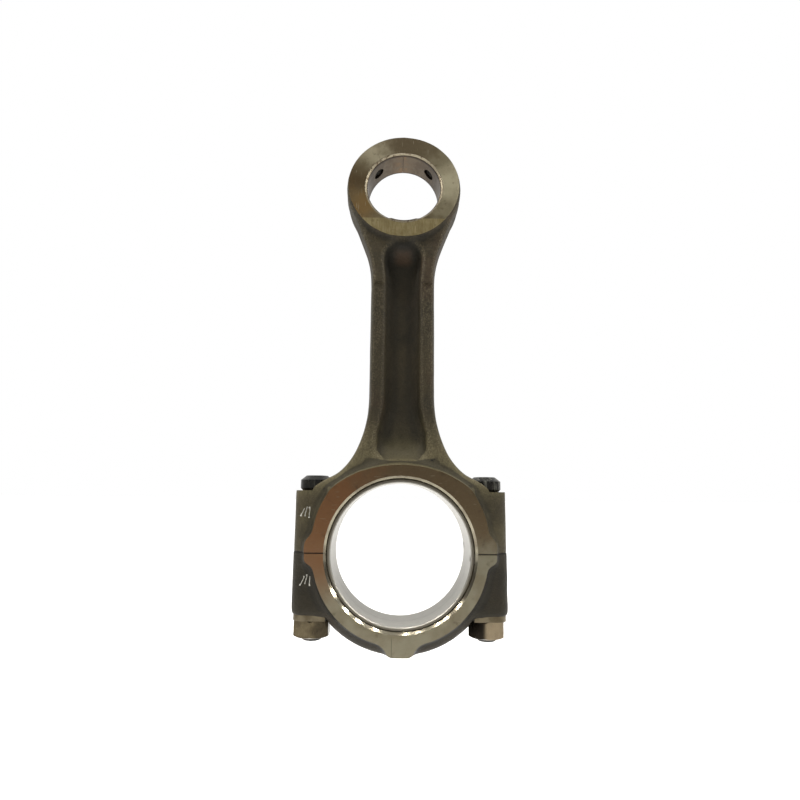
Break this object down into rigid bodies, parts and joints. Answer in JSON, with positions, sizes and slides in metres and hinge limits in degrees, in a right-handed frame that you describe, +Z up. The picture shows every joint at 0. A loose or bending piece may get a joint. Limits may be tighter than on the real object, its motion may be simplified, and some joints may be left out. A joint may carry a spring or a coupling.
{
  "type": "connecting rod",
  "caption": "Diesel connecting rod: I-beam forging, wedge-shaped bushed small end, split big end with bearing shells, cap, round-headed bolts and nuts.",
  "frame": {"origin": "centre of the crankpin bore, at mid width", "axes": "+Z up the shank towards the small end, Y along both bores, X across the two bolts; -Y is the front"},
  "size_m": [0.1394, 0.0412, 0.359],
  "materials": {
    "forged_steel": "as forged, dark scale, with machined faces",
    "bush_bronze": "fine-bored bronze, oil stained",
    "shell_lining": "steel-backed shell with a smooth grey lining",
    "bolt_black": "black oxide, oiled",
    "nut_steel": "plain steel, heat-tinted brown"
  },
  "bodies": {
    "rod": {"rod_forging": "forged_steel", "small_end_bush": "bush_bronze", "upper_bearing_shell": "shell_lining", "left_rod_bolt": "bolt_black", "right_rod_bolt": "bolt_black"},
    "cap": {"bearing_cap": "forged_steel", "lower_bearing_shell": "shell_lining"},
    "left_nut": {"left_rod_nut": "nut_steel"},
    "right_nut": {"right_rod_nut": "nut_steel"}
  },
  "joints": [
    {"name": "cap_draw", "type": "slide", "parent": "rod", "child": "cap", "axis": [0, 0, -1], "range_m": [0, 0.06]},
    {"name": "left_nut_undo", "type": "slide", "parent": "rod", "child": "left_nut", "axis": [0, 0, -1], "range_m": [0, 0.078]},
    {"name": "right_nut_undo", "type": "slide", "parent": "rod", "child": "right_nut", "axis": [0, 0, -1], "range_m": [0, 0.078]}
  ],
  "couplings": [
    {"joint": "left_nut_undo", "follows": "cap_draw", "ratio": 1.3},
    {"joint": "right_nut_undo", "follows": "cap_draw", "ratio": 1.3}
  ]
}
